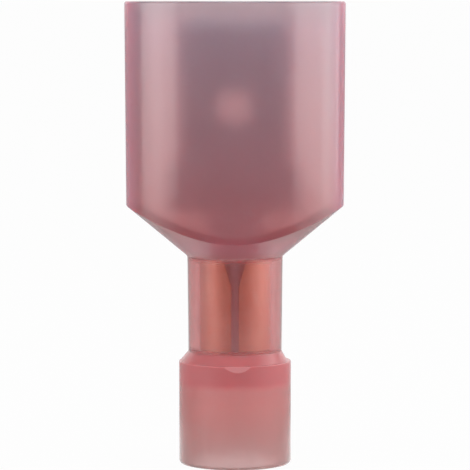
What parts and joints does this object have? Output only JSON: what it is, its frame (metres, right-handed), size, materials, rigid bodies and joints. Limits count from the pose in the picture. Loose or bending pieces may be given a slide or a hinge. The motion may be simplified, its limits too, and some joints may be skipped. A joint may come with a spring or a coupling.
{
  "type": "male spade terminal",
  "caption": "Fully insulated male spade terminal: a folded tab inside an oval translucent nylon housing, with a crimp barrel and copper sleeve in the neck for a stranded wire.",
  "frame": {"origin": "centre of the wire end's ring, on the surface that the part stands on", "axes": "+Z along the wire's axis towards the mouth, +X along the tab's width, -Y out of the tab's smooth face"},
  "size_m": [0.0126, 0.0076, 0.0264],
  "materials": {
    "nylon": "translucent, satin",
    "tinned_brass": "tin plated, satin",
    "copper": "bare, bright"
  },
  "bodies": {
    "root": {"insulator": "nylon", "terminal": "tinned_brass", "sleeve": "copper"}
  },
  "joints": []
}
